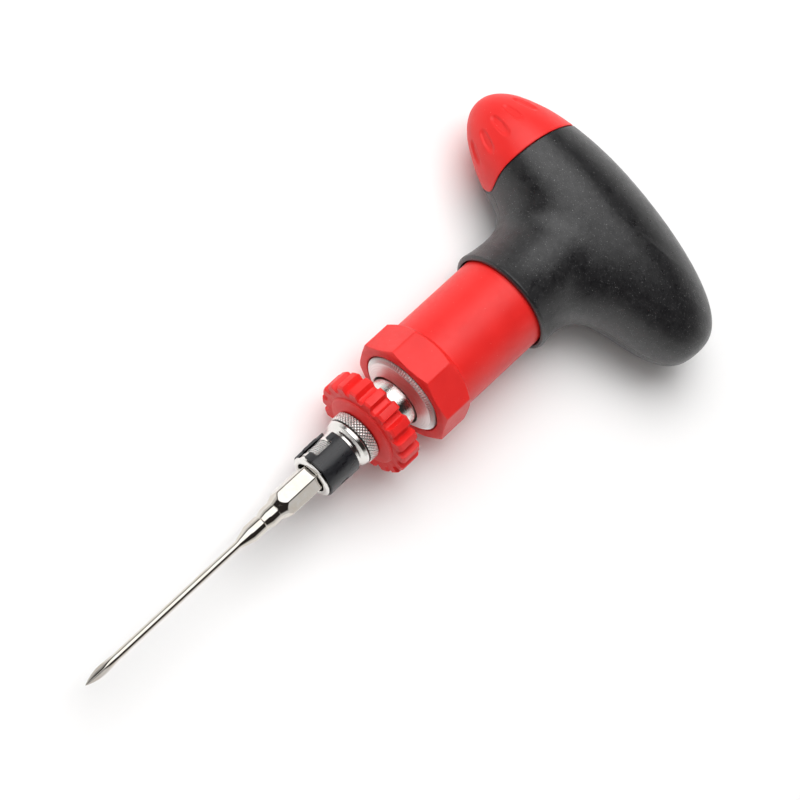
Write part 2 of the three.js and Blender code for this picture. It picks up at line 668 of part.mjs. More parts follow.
// ---- needle bit ----
function needleBit() {
  const shank = turned([
    [0, -153.4],
    [NEEDLE_RADIUS, -153.4],
    [NEEDLE_RADIUS, -115.7],
    [2.1, -112.0],
    [2.1, -108.5],
    [1.9, -108.2],
    [2.5, -106.5],
    [2.5, -104.3],
    [3.0, -102.8],
    [3.0, -101.5],
    [0, -101.5],
  ], FINE);
  const hexBlank = prism(hexagon(HEX_AF), -104, BIT_END_Y);
  const corner = HEX_AF / Math.sqrt(3);
  const hexEnds = turned([
    [0, -104.2],
    [2.4, -104.2],
    [corner + 0.2, -101.0],
    [corner + 0.2, BIT_END_Y - 0.9],
    [corner - 0.6, BIT_END_Y],
    [0, BIT_END_Y],
  ]);
  return piece('needle_bit', joined(shank, hexBlank.intersect(hexEnds), ...spearPoint()), NICKEL);
}

// A four-sided spear: a point, its widest section and the place where it meets the needle.
function spearPoint() {
  const wideY = BIT_TIP_Y + 5;
  const diamond = (halfWidth, halfHeight, y) => [
    new THREE.Vector3(halfWidth, y, 0),
    new THREE.Vector3(0, y, halfHeight),
    new THREE.Vector3(-halfWidth, y, 0),
    new THREE.Vector3(0, y, -halfHeight),
  ];
  const tip = new THREE.Vector3(0, BIT_TIP_Y, 0);
  const widest = diamond(1.18, 0.95, wideY);
  const heel = diamond(0.9, 0.9, BIT_TIP_Y + 9.6);
  return [
    solid(new ConvexGeometry([tip, ...widest])),
    solid(new ConvexGeometry([...widest, ...heel])),
  ];
}

// ---- the tool ----
const tool = new THREE.Group();
const grip = gripPieces();
const pawlA = pawlPieces('a', -1);
const pawlB = pawlPieces('b', 1);
tool.add(
  grip.rubber, grip.core, grip.cap, grip.seal,
  selectorSleeve(), ratchetHousing(), ratchetGear(),
  pawlA.pawl, pawlA.pin, pawlB.pawl, pawlB.pin, pawlSpring(),
  ...bearingPieces(), ...detentPieces(),
  spindle(), spinnerRing(), bitSocket(), ...chuckPieces(),
  releaseSleeve(), needleBit(),
);

const middleX = (BLACK_ARM.length - RED_ARM.length) / 2;
const middleY = (BIT_TIP_Y + BAR_RADIUS) / 2;
tool.position.set(-middleX, -middleY, -LAND_Z);

const model = new THREE.Group();
model.add(tool);

export default model;
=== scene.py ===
"""Looks for the T-handle ratchet driver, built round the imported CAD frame.

Lengths in the tool's own frame are in millimetres: the shaft lies along Y with the point
towards -Y, y = 0 is the T-bar's axis, the storage cap is at -X and Z is up. Angles round the
shaft are from straight up towards +X, and angles round the T-bar from straight up towards +Y.
"""

import math

import bpy
import numpy as np
from mathutils import Matrix, Vector


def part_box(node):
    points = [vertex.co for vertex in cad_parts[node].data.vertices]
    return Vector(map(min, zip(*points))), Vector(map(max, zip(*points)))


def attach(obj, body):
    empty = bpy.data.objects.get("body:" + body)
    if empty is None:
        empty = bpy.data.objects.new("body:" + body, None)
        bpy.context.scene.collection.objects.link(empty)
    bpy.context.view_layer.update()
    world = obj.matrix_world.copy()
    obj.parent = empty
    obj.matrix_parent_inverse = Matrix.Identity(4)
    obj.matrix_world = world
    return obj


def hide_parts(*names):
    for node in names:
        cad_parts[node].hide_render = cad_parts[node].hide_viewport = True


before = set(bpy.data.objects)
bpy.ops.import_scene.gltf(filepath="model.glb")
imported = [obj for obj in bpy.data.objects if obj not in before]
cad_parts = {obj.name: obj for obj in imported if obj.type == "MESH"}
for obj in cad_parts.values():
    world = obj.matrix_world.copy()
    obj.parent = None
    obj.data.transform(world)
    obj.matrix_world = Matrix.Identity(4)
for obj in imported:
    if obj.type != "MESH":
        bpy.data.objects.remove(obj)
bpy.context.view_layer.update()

# ---- the tool's own frame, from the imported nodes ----
MM = 0.001
SPINDLE_END_Y = -30.6
spindle_low, spindle_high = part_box("spindle")
ORIGIN = Vector(
    (
        (spindle_low.x + spindle_high.x) / 2,
        spindle_high.y - SPINDLE_END_Y * MM,
        (spindle_low.z + spindle_high.z) / 2,
    )
)
TAU = 2 * math.pi

# ---- grip ----
BAR_RADIUS = 15.18
BAR_FLATNESS = 0.97
BLACK_ARM = (39.95, 0.35)  # length, bluntness
RED_ARM = (38.15, 0.48)
NECK_RADIUS = 12.8
NECK_FLARE = 1.0
NECK_WAIST_Y = -20.0
NECK_MOUTH_Y = -29.8
NECK_BORE = 12.5
NECK_BORE_END_Y = -22.3
LIP_LENGTH = 1.2
BLACK_SIDE_FILLET = 20.0
RED_SIDE_FILLET = 10.0
TOP_FILLET = 3.0
LAND_Z = -14.28
LAND_EASE = 0.5
RUBBER = 2.6
NECK_WALL = 0.5
GAP = 0.3
PARTING_X = -22.6
PARTING_SWEEP = 1.9
PARTING_TILT = 0.15
PARTING_HOOK = 2.2
PARTING_DEPTH = BAR_RADIUS * 0.85
PARTING_EASE = 0.26


# ---- node helpers ----
class Finish:
    """A Principled material with a short way to add and link nodes."""

    def __init__(self, name, color, roughness, metallic=0.0, **shader):
        self.material = bpy.data.materials.new(name)
        self.material.use_nodes = True
        self.tree = self.material.node_tree
        self.shader = self.tree.nodes["Principled BSDF"]
        self.set("Base Color", (*color, 1.0))
        self.set("Roughness", roughness)
        self.set("Metallic", metallic)
        for key, value in shader.items():
            self.set(key.replace("_", " ").title().replace("Ior", "IOR"), value)
        self.material.diffuse_color = (*color, 1.0)
        self.bump = None
        coordinates = self.node("ShaderNodeTexCoord")
        scaled = self.node("ShaderNodeVectorMath", operation="SCALE")
        self.tree.links.new(coordinates.outputs["Object"], scaled.inputs[0])
        scaled.inputs["Scale"].default_value = 1 / MM
        self.place = scaled.outputs[0]

    def node(self, kind, inputs=(), **settings):
        made = self.tree.nodes.new(kind)
        for key, value in settings.items():
            setattr(made, key, value)
        for key, value in dict(inputs).items():
            if isinstance(value, bpy.types.NodeSocket):
                self.tree.links.new(value, made.inputs[key])
            else:
                made.inputs[key].default_value = value
        return made

    def set(self, key, value):
        if isinstance(value, bpy.types.NodeSocket):
            self.tree.links.new(value, self.shader.inputs[key])
        else:
            self.shader.inputs[key].default_value = value

    def stretched(self, x, y, z):
        """Millimetre coordinates multiplied by x, y and z."""
        made = self.node("ShaderNodeVectorMath", {0: self.place, 1: (x, y, z)}, operation="MULTIPLY")
        return made.outputs[0]

    def turned_place(self, along, across, around):
        """Coordinates for the marks that a lathe leaves: they run round the shaft's axis."""
        split = self.node("ShaderNodeSeparateXYZ", {0: self.place})
        flat = self.node("ShaderNodeCombineXYZ", {0: split.outputs[0], 1: split.outputs[2]})
        radius = self.node("ShaderNodeVectorMath", {0: flat.outputs[0]}, operation="LENGTH")
        made = self.node(
            "ShaderNodeCombineXYZ",
            {
                0: self.math("MULTIPLY", radius.outputs["Value"], across),
                1: self.math("MULTIPLY", split.outputs[1], along),
                2: self.math("MULTIPLY", split.outputs[0], around),
            },
        )
        return made.outputs[0]

    def math(self, operation, *values, clamp=False):
        made = self.node("ShaderNodeMath", dict(enumerate(values)), operation=operation, use_clamp=clamp)
        return made.outputs[0]

    def noise(self, scale, detail=3.0, roughness=0.5, place=None):
        made = self.node(
            "ShaderNodeTexNoise",
            {"Vector": place or self.place, "Scale": scale, "Detail": detail, "Roughness": roughness},
        )
        return made.outputs["Fac"]

    def specks(self, scale, size, place=None):
        """1 in small round specks, one to a cell of 1 / scale millimetres, and 0 elsewhere."""
        cell = self.node("ShaderNodeTexVoronoi", {"Vector": place or self.place, "Scale": scale})
        chance = self.node("ShaderNodeSeparateColor", {0: cell.outputs["Color"]})
        reach = self.math("MULTIPLY", chance.outputs[0], size)
        return self.math("LESS_THAN", cell.outputs["Distance"], reach)

    def ramp(self, value, *stops):
        """A colour ramp from (position, (r, g, b)) stops."""
        made = self.node("ShaderNodeValToRGB", {0: value})
        elements = made.color_ramp.elements
        while len(elements) < len(stops):
            elements.new(0.5)
        for element, (position, color) in zip(elements, stops):
            element.position = position
            element.color = (*color, 1.0)
        return made.outputs[0]

    def span(self, value, low, high, to_low=0.0, to_high=1.0):
        made = self.node(
            "ShaderNodeMapRange",
            {0: value, 1: low, 2: high, 3: to_low, 4: to_high},
            clamp=True,
        )
        return made.outputs[0]

    def mix(self, factor, first, second):
        made = self.node("ShaderNodeMix", {0: factor}, data_type="RGBA")
        for socket, value in ((made.inputs[6], first), (made.inputs[7], second)):
            if isinstance(value, bpy.types.NodeSocket):
                self.tree.links.new(value, socket)
            else:
                socket.default_value = (*value, 1.0)
        return made.outputs[2]

    def relief(self, height, depth_mm, strength=1.0):
        """Adds bump of that depth to what is there already."""
        inputs = {"Height": height, "Distance": depth_mm * MM, "Strength": strength}
        if self.bump is not None:
            inputs["Normal"] = self.bump
        self.bump = self.node("ShaderNodeBump", inputs).outputs[0]
        self.set("Normal", self.bump)


# ---- finishes ----
def red_plastic():
    made = Finish("red_plastic_finish", (0.80, 0.022, 0.018), 0.42, specular_ior_level=0.45)
    cloud = made.noise(0.12, 3.0)
    tone = made.ramp(cloud, (0.3, (0.74, 0.014, 0.012)), (0.7, (0.81, 0.020, 0.017)))
    dust = made.math("MULTIPLY", made.specks(0.9, 0.08), 0.3)
    made.set("Base Color", made.mix(dust, tone, (0.9, 0.45, 0.42)))
    made.set("Roughness", made.span(made.noise(0.9, 4.0), 0.3, 0.7, 0.38, 0.48))
    made.relief(made.noise(3.2, 4.0, 0.6), 0.02, 0.5)
    made.relief(made.noise(0.35, 2.0), 0.05, 0.4)
    return made.material


def black_rubber():
    made = Finish("black_rubber_finish", (0.012, 0.012, 0.013), 0.38, specular_ior_level=0.85)
    mottle = made.noise(0.5, 8.0, 0.75)
    tone = made.ramp(mottle, (0.34, (0.002, 0.002, 0.003)), (0.66, (0.014, 0.014, 0.015)))
    pale = made.math("MULTIPLY", made.specks(1.3, 0.13), 0.5)
    fine = made.math("MULTIPLY", made.specks(2.7, 0.26), 0.26)
    dusty = made.mix(fine, made.mix(pale, tone, (0.34, 0.34, 0.33)), (0.30, 0.30, 0.30))
    pits = made.math("MULTIPLY", made.specks(0.77, 0.09), 0.8)
    made.set("Base Color", made.mix(pits, dusty, (0.004, 0.004, 0.004)))
    made.set("Roughness", made.span(made.noise(0.6, 6.0, 0.65), 0.34, 0.66, 0.27, 0.41))
    made.relief(made.noise(2.2, 7.0, 0.75), 0.08, 0.55)
    made.relief(made.noise(0.28, 4.0), 0.12, 0.4)
    height = made.node("ShaderNodeSeparateXYZ", {0: made.place}).outputs[2]
    seam = made.span(made.math("ABSOLUTE", height), 0.06, 0.22, 1.0, 0.0)
    made.relief(seam, 0.12, 0.7)
    return made.material


def seal_rubber():
    made = Finish("seal_rubber_finish", (0.012, 0.012, 0.013), 0.5)
    made.set("Roughness", made.span(made.noise(1.5, 3.0), 0.3, 0.7, 0.4, 0.6))
    made.relief(made.noise(5.0, 3.0), 0.01, 0.5)
    return made.material


def plated(name, color, roughness, marks, warmth=(1.0, 1.0, 1.0)):
    """Bright plating over lathe marks of that depth, in millimetres."""
    made = Finish(name, color, roughness, 1.0)
    other = tuple(c * w for c, w in zip(color, warmth))
    cloud = made.span(made.noise(0.4, 3.0), 0.35, 0.65)
    made.set("Base Color", made.mix(cloud, color, other))
    wear = made.noise(1.6, 4.0, 0.6)
    made.set("Roughness", made.span(wear, 0.3, 0.75, roughness * 0.8, roughness * 1.5))
    if marks:
        place = made.turned_place(1.0, 1.0, 0.12)
        made.relief(made.noise(4.0, 4.0, 0.7, place), marks, 0.6)
        scuffs = made.stretched(0.9, 2.4, 0.9)
        made.relief(made.noise(3.0, 4.0, 0.7, scuffs), marks * 1.5, 0.6)
    made.relief(made.noise(7.0, 2.0), 0.004, 0.3)
    return made.material


def knurled_plate(root, crest):
    """Plating with painted shade darkening the grooves, between those radii."""
    made = Finish("knurl_plate_finish", (0.84, 0.83, 0.81), 0.2, 0.75)
    split = made.node("ShaderNodeSeparateXYZ", {0: made.place})
    flat = made.node("ShaderNodeCombineXYZ", {0: split.outputs[0], 1: split.outputs[2]})
    radius = made.node("ShaderNodeVectorMath", {0: flat.outputs[0]}, operation="LENGTH")
    height = made.span(radius.outputs["Value"], root, crest)
    # painted shade: the base colour goes from near white at the crests to dark grey at the groove roots,
    # standing in for the shadow inside the grooves
    made.set("Base Color", made.ramp(height, (0.1, (0.24, 0.23, 0.22)), (0.5, (0.97, 0.96, 0.94))))
    made.set("Roughness", made.span(height, 0.0, 1.0, 0.4, 0.26))
    made.relief(made.noise(7.0, 2.0), 0.006, 0.4)
    return made.material


def brushed_washer():
    made = Finish("brushed_nickel_finish", (0.80, 0.77, 0.76), 0.34, 1.0)
    place = made.turned_place(1.0, 1.0, 0.06)
    streaks = made.noise(9.0, 4.0, 0.6, place)
    made.set("Base Color", made.ramp(streaks, (0.3, (0.70, 0.66, 0.65)), (0.7, (0.88, 0.85, 0.84))))
    made.set("Roughness", made.span(made.noise(0.8, 3.0), 0.3, 0.7, 0.38, 0.48))
    made.relief(streaks, 0.02, 0.5)
    return made.material


def black_oxide():
    made = Finish("black_sleeve_finish", (0.012, 0.012, 0.014), 0.3, specular_ior_level=0.7)
    smear = made.noise(1.0, 4.0, 0.6, made.stretched(1.2, 0.5, 1.2))
    made.set("Base Color", made.ramp(smear, (0.3, (0.006, 0.006, 0.008)), (0.7, (0.018, 0.019, 0.022))))
    made.set("Roughness", made.span(smear, 0.3, 0.7, 0.24, 0.40))
    made.relief(made.noise(4.0, 3.0), 0.01, 0.4)
    return made.material


def bronze():
    made = Finish("bronze_finish", (0.45, 0.28, 0.11), 0.42, 0.9)
    pores = made.noise(4.0, 4.0, 0.7)
    made.set("Base Color", made.ramp(pores, (0.35, (0.30, 0.17, 0.06)), (0.65, (0.52, 0.33, 0.13))))
    made.relief(pores, 0.02, 0.5)
    return made.material


RED = red_plastic()
RUBBER_FINISH = black_rubber()
SEAL = seal_rubber()
NICKEL = plated("nickel_finish", (0.82, 0.81, 0.79), 0.09, 0.024, (0.97, 0.96, 0.94))
BIT_PLATE = plated("bit_plate_finish", (0.70, 0.67, 0.63), 0.07, 0.0, (0.98, 0.95, 0.91))
KNURL_PLATE = knurled_plate(6.10, 6.40)
WASHER = brushed_washer()
SLEEVE_BLACK = black_oxide()
STEEL = plated("plain_steel_finish", (0.66, 0.66, 0.65), 0.26, 0.01)
ZINC = plated("zinc_finish", (0.36, 0.37, 0.39), 0.42, 0.02)
BRONZE = bronze()
MAGNET = plated("magnet_finish", (0.10, 0.10, 0.11), 0.35, 0.0)


# ---- mesh helpers ----
def new_piece(name, points, faces, finish, body, stands_for=(), sharp=32):
    """A smooth-shaded mesh from points in the tool's own frame, riding on a CAD body."""
    mesh = bpy.data.meshes.new(name)
    mesh.from_pydata((np.asarray(points) * MM).tolist(), [], faces)
    return mesh_piece(name, mesh, finish, body, stands_for, sharp)


def mesh_piece(name, mesh, finish, body, stands_for=(), sharp=32):
    mesh.materials.clear()
    mesh.materials.append(finish)
    mesh.shade_smooth()
    mesh.set_sharp_from_angle(angle=math.radians(sharp))
    made = bpy.data.objects.new(name, mesh)
    bpy.context.scene.collection.objects.link(made)
    made.location = ORIGIN
    level = made.modifiers.new("even_normals", "WEIGHTED_NORMAL")
    level.keep_sharp = True
    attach(made, body)
    if stands_for:
        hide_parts(*stands_for)
    return made


def stacked(rings, closed=False):
    """Points and faces of rings joined one to the next. A ring of one point is a pole."""
    points = np.concatenate(rings)
    starts = np.cumsum([0] + [len(ring) for ring in rings])
    pairs = [(i, i + 1) for i in range(len(rings) - 1)]
    if closed:
        pairs.append((len(rings) - 1, 0))
    faces = []
    for first, second in pairs:
        a, b = starts[first], starts[second]
        n, m = len(rings[first]), len(rings[second])
        count = max(n, m)
        here = np.arange(count)
        ahead = (here + 1) % count
        if n == 1:
            faces += np.stack([here * 0 + a, b + ahead, b + here], 1).tolist()
        elif m == 1:
            faces += np.stack([a + here, a + ahead, here * 0 + b], 1).tolist()
        else:
            faces += np.stack([a + here, a + ahead, b + ahead, b + here], 1).tolist()
    return points, outward(points, faces)


def outward(points, faces):
    """The faces, all turned over if they close in a negative volume."""
    triangles = [(face[0], face[i], face[i + 1]) for face in faces for i in range(1, len(face) - 1)]
    a, b, c = (points[column] for column in np.array(triangles).T)
    if np.einsum("ij,ij->i", a, np.cross(b, c)).sum() < 0:
        return [face[::-1] for face in faces]
    return faces


def round_shaft(radius, y, angles):
    """A ring about the shaft: radius and y may vary with the angle."""
    return np.stack([radius * np.sin(angles), y + 0 * angles, radius * np.cos(angles)], 1)


def round_bar(radius, x, angles):
    """A ring about the T-bar's axis."""
    return np.stack([x + 0 * angles, radius * np.sin(angles), radius * np.cos(angles)], 1)


def around(count):
    return np.arange(count) * TAU / count


def rounded(corners, steps=4):
    """A closed profile with each corner (r, y, fillet) replaced by an arc."""
    profile = []
    for i, (r, y, fillet) in enumerate(corners):
        here = np.array((r, y), float)
        if not fillet:
            profile.append(here)
            continue
        before = np.array(corners[i - 1][:2], float) - here
        after = np.array(corners[(i + 1) % len(corners)][:2], float) - here
        room = 0.48 * min(np.linalg.norm(before), np.linalg.norm(after))
        before /= np.linalg.norm(before)
        after /= np.linalg.norm(after)
        half = math.acos(np.clip(before @ after, -1, 1)) / 2
        trim = min(fillet / math.tan(half), room)
        radius = trim * math.tan(half)
        middle = before + after
        centre = here + middle / np.linalg.norm(middle) * radius / math.sin(half)
        for t in np.linspace(0, 1, steps + 1):
            spoke = here + (before * (1 - t) + after * t) * trim - centre
            profile.append(centre + spoke / np.linalg.norm(spoke) * radius)
    return profile


def turned(corners, count, shape=None, steps=4):
    """Rings of a closed profile turned about the shaft. shape(angles, r, y) gives each ring's radius."""
    angles = around(count)
    rings = []
    for r, y in rounded(corners, steps):
        radius = shape(angles, r, y) if shape else r + 0 * angles
        rings.append(round_shaft(radius, y, angles))
    return stacked(rings, closed=True)


def soft_min(a, b, width):
    blend = np.maximum(width - np.abs(a - b), 0) / width
    return np.minimum(a, b) - blend**3 * width / 6


def soft_max(a, b, width):
    return -soft_min(-a, -b, width)


def smooth(t):
    t = np.clip(t, 0, 1)
    return t * t * (3 - 2 * t)


def polygon_radius(angles, sides, apothem, turn, sharpness):
    """Radius of a regular polygon with softened corners. turn is the angle of one corner."""
    total = 0
    for k in range(sides):
        face = turn + (k + 0.5) * TAU / sides
        total = total + np.maximum(np.cos(angles - face), 0) ** sharpness
    return apothem * total ** (-1 / sharpness)


def cut(target, cutter):
    """Takes the cutter out of the target's mesh and deletes it."""
    change = target.modifiers.new("cut", "BOOLEAN")
    change.object = cutter
    change.operation = "DIFFERENCE"
    change.solver = "MANIFOLD"
    graph = bpy.context.evaluated_depsgraph_get()
    target.data = bpy.data.meshes.new_from_object(target.evaluated_get(graph))
    target.modifiers.clear()
    bpy.data.objects.remove(cutter)


def rough(points_faces):
    """A bare object for booleans, scaled to metres but not yet in place."""
    points, faces = points_faces
    mesh = bpy.data.meshes.new("rough")
    mesh.from_pydata((np.asarray(points) * MM).tolist(), [], faces)
    made = bpy.data.objects.new("rough", mesh)
    bpy.context.scene.collection.objects.link(made)
    return made


# ---- grip surface: negative inside ----
def neck_radius(y):
    flare = np.maximum((NECK_WAIST_Y - y) / (NECK_WAIST_Y - NECK_MOUTH_Y), 0) ** 2
    return NECK_RADIUS + NECK_FLARE * flare


def grip_field(x, y, z, bar_radius=BAR_RADIUS, shorten=0.0, neck_inset=0.0):
    length = np.where(x > 0, BLACK_ARM[0], RED_ARM[0]) - shorten
    bluntness = np.where(x > 0, BLACK_ARM[1], RED_ARM[1])
    reach = np.abs(x) / length
    inside = np.maximum(1 - reach**2, 1e-9) ** bluntness * bar_radius
    radius = np.where(reach < 1, inside, (1 - reach) * length)
    bar = np.hypot(y, z / BAR_FLATNESS) - radius
    out = np.hypot(x, z)
    neck = np.maximum(out - (neck_radius(y) - neck_inset), 2 * y)
    side_fillet = np.where(x > 0, BLACK_SIDE_FILLET, RED_SIDE_FILLET)
    fillet = TOP_FILLET + (side_fillet - TOP_FILLET) * (x / np.maximum(out, 1e-4)) ** 2
    blend = np.maximum(fillet - np.abs(bar - neck), 0) / fillet
    return np.minimum(bar, neck) - blend**3 * fillet / 6


def skin_field(x, y, z):
    """The grip with the flat land that the tool lies on, eased into the round."""
    return soft_max(grip_field(x, y, z), LAND_Z - z, LAND_EASE)


def edge_of(inside, count, low, high):
    """The distance at which inside(distances) stops being true, for each of count entries."""
    low = np.full(count, float(low))
    high = np.full(count, float(high))
    for _ in range(34):
        middle = (low + high) / 2
        held = inside(middle)
        low = np.where(held, middle, low)
        high = np.where(held, high, middle)
    return low


def reached(field, start, way, low, high):
    """How far along each way the field changes sign."""

    def inside(distance):
        x, y, z = (start[:, k] + way[:, k] * distance for k in range(3))
        return field(x, y, z) < 0

    return edge_of(inside, len(way), low, high)


def parting(y):
    """The line between cap and rubber: tilted, swept back, and hooked back beside the neck."""
    out = y / PARTING_DEPTH
    hook = PARTING_HOOK * np.clip(-out, 0, 1.05) ** 8
    return PARTING_X + PARTING_TILT * y + PARTING_SWEEP * out**2 + hook


# ---- rubber grip ----
def grip_rings(field, first_row, rows, columns):
    """Rings of the T round the shaft, from the palm down to the angle first_row off the point's way."""
    angles = around(columns)
    rings = []
    for off in np.linspace(math.pi, first_row, rows):
        way = round_shaft(math.sin(off), -math.cos(off), angles)
        if off > math.pi - 1e-9:
            way = way[:1]
        distance = reached(field, way * 0, way, 1, 60)
        rings.append(way * distance[:, None])
    return rings


def rubber_grip():
    """The outside from the palm to the lip, the bead at the mouth, the bore, and then the cuts."""
    lip_y = NECK_MOUTH_Y + LIP_LENGTH
    lip_radius = neck_radius(lip_y)
    rings = grip_rings(skin_field, math.atan2(lip_radius, -lip_y), 190, 288)
    lip = rounded(
        [
            (lip_radius, lip_y, 0),
            (lip_radius + 0.1, NECK_MOUTH_Y + 0.65, 0.4),
            (lip_radius - 0.3, NECK_MOUTH_Y + 0.12, 0.4),
            (lip_radius - 0.75, NECK_MOUTH_Y + 0.02, 0.2),
            (NECK_BORE + 0.05, NECK_MOUTH_Y + 0.02, 0.08),
            (NECK_BORE, NECK_MOUTH_Y + 0.3, 0.1),
            (NECK_BORE, NECK_BORE_END_Y, 0),
            (0.0, NECK_BORE_END_Y, 0),
        ],
        5,
    )
    angles = around(288)
    rings += [round_shaft(r, y, angles) for r, y in lip[1:-1]]
    rings.append(np.array([[0.0, NECK_BORE_END_Y, 0.0]]))
    grip = rough(stacked(rings))

    cut(grip, rough(pocket()))
    cut(grip, rough(parting_block()))
    cut(grip, rough(parting_groove()))
    mesh = grip.data
    bpy.data.objects.remove(grip)
    return mesh_piece("grip_rubber", mesh, RUBBER_FINISH, "handle", ["rubber_grip"], 40)


def pocket():
    """The room inside the rubber for the core, from the palm down to the mouth's bore."""
    inset = NECK_WALL + GAP
    end = NECK_BORE_END_Y - 0.05  # a little past the bore's end, so that the two join
    radius = neck_radius(end) - inset

    def field(x, y, z):
        return grip_field(x, y, z, BAR_RADIUS - RUBBER, RUBBER, inset)

    rings = grip_rings(field, math.atan2(radius, -end), 70, 120)
    rings.append(np.array([[0.0, end, 0.0]]))
    return stacked(rings)


def parting_block():
    """Everything on the cap's side of the parting surface."""
    side, far = 20.0, -60.0
    steps = np.linspace(-side, side, 81)
    outline = [(far, -side), *[(parting(y) + GAP / 2, y) for y in steps], (far, side)]
    low = np.array([(x, y, -side) for x, y in outline])
    high = low + [0, 0, 2 * side]
    points, faces = stacked([low, high])
    count = len(low)
    faces += [list(range(count))[::-1], list(range(count, 2 * count))]
    return points, outward(points, faces)


def parting_groove():
    """A thin rod lying along the parting line, which eases the edge of what it cuts."""
    psi = around(240)
    way = round_bar(1.0, 0.0, psi)

    def inside(radius):
        y, z = way[:, 1] * radius, way[:, 2] * radius
        return skin_field(parting(y), y, z) < 0

    edge = edge_of(inside, len(psi), 4, 22)
    y, z = way[:, 1] * edge, way[:, 2] * edge
    path = np.stack([parting(y), y, z], 1)
    return tube_along(path, PARTING_EASE, 8, closed=True)


def tube_along(path, radius, sides, closed=False):
    """A round tube of that radius along a path of points."""
    if closed:
        along = np.roll(path, -1, 0) - np.roll(path, 1, 0)
    else:
        along = np.gradient(path, axis=0)
    along /= np.linalg.norm(along, axis=1)[:, None]
    out = path * [0, 1, 1] if closed else path * [1, 0, 1]
    out -= along * np.einsum("ij,ij->i", out, along)[:, None]
    out /= np.linalg.norm(out, axis=1)[:, None]
    side = np.cross(along, out)
    turn = around(sides)[:, None]
    rings = [
        centre + radius * (np.cos(turn) * a + np.sin(turn) * b)
        for centre, a, b in zip(path, out, side)
    ]
    if not closed:
        rings = [path[:1], *rings, path[-1:]]
    return stacked(rings, closed=closed)


# ---- storage cap ----
RECESSES = 12
RECESS_TURN = math.radians(4.5)
RECESS_X = -31.1
RECESS_SWEEP = 1.6
RECESS_LENGTH = 7.2
RECESS_WIDTH = 2.4
RECESS_DEPTH = 0.5
RECESS_SQUARENESS = 2.6
RECESS_BORDER = 0.42
DOME_SLOPE = 0.54
CAP_EDGE_EASE = 0.14
CAP_EDGE_WIDTH = 0.35
SPIGOT_RADIUS = 8.0
SPIGOT_END_X = -14.82
SEAL_GROOVE_RADIUS = 7.3
HOLLOW_RADIUS = 6.2
HOLLOW_END_X = -31.0


def recess_depth(x, angles, radius):
    """How far the finger recesses sink the dome at x, for each angle round it."""
    depth = np.zeros_like(angles)
    along_the_slope = math.hypot(1, DOME_SLOPE)
    for i in range(RECESSES):
        at = RECESS_TURN + i * TAU / RECESSES
        side = ((angles - at + math.pi) % TAU - math.pi) * radius
        forward = (x - RECESS_X - RECESS_SWEEP * math.sin(at) ** 2) * along_the_slope
        u = np.abs(forward) / (RECESS_LENGTH / 2)
        v = np.abs(side) / (RECESS_WIDTH / 2)
        edge = (u**RECESS_SQUARENESS + v**RECESS_SQUARENESS) ** (1 / RECESS_SQUARENESS)
        depth = np.maximum(depth, RECESS_DEPTH * smooth((1.0 - edge) / RECESS_BORDER))
    return depth


def storage_cap():
    """The dome from its top to the parting line, then the spigot, the seal's groove and the hollow."""
    angles = around(300)
    spokes = round_bar(1.0, 0.0, angles)

    def at(radius):
        return parting(radius * np.sin(angles)) - GAP / 2

    def inside(radius):
        return skin_field(at(radius), radius * spokes[:, 1], radius * spokes[:, 2]) < 0

    edge = edge_of(inside, len(angles), 4, 22)
    lead = at(edge)
    rings = [np.array([[-RED_ARM[0], 0.0, 0.0]])]
    for s in np.sin(np.linspace(math.pi / 2, 0, 110))[1:]:
        x = lead + (-RED_ARM[0] - lead) * s
        start = np.stack([x, 0 * x, 0 * x], 1)
        radius = reached(skin_field, start, spokes, 0, 20)
        radius = radius - recess_depth(x, angles, np.maximum(radius, 0.5))
        ease = smooth(1 - np.abs(x - lead) / CAP_EDGE_WIDTH)
        radius = radius - CAP_EDGE_EASE * ease**2
        rings.append(round_bar(radius, x, angles))
    for share in (0.35, 0.7, 1.0):
        rim = edge - CAP_EDGE_EASE
        radius = rim - (rim - SPIGOT_RADIUS) * share
        rings.append(round_bar(radius, at(radius), angles))
    inner = rounded(
        [
            (SPIGOT_RADIUS, -19.0, 0.1),
            (SEAL_GROOVE_RADIUS, -18.9, 0.1),
            (SEAL_GROOVE_RADIUS, -17.5, 0.1),
            (SPIGOT_RADIUS, -17.4, 0.1),
            (SPIGOT_RADIUS, SPIGOT_END_X, 0.4),
            (HOLLOW_RADIUS, SPIGOT_END_X, 0.25),
            (HOLLOW_RADIUS, HOLLOW_END_X, 0.5),
            (0.0, HOLLOW_END_X, 0),
        ],
        3,
    )
    rings += [round_bar(r, x, angles) for r, x in inner[:-1]]
    rings.append(np.array([[HOLLOW_END_X, 0.0, 0.0]]))
    points, faces = stacked(rings)
    return new_piece("cap_red", points, faces, RED, "cap", ["storage_cap"], 42)


# ---- selector ----
COLLAR_FRONT_Y = -62.8
COLLAR_TURN = math.radians(4.6)
COLLAR_APOTHEM = 14.0 * math.cos(TAU / 16)
COLLAR_BACK_Y = -55.0
COLLAR_FRONT_BEVEL = (12.75, 2.3)  # radius at the edge, slope
COLLAR_BACK_BEVEL = (14.15, 1.25)
BARREL_RADIUS = 12.1
BARREL_END_Y = -22.3
BARREL_BORE = 9.9
SEAT_RADIUS = 10.8
SEAT_END_Y = -60.9


def selector_radius(angles, y):
    """The octagon, bevelled round at both ends, and the barrel behind it."""
    octagon = polygon_radius(angles, 8, COLLAR_APOTHEM, COLLAR_TURN, 150)
    front = COLLAR_FRONT_BEVEL[0] + (y - COLLAR_FRONT_Y) * COLLAR_FRONT_BEVEL[1]
    back = COLLAR_BACK_BEVEL[0] - (y - COLLAR_BACK_Y) * COLLAR_BACK_BEVEL[1]
    collar = soft_min(soft_min(octagon, front, 0.18), back, 0.18)
    return soft_max(collar, BARREL_RADIUS + 0 * angles, 0.3)


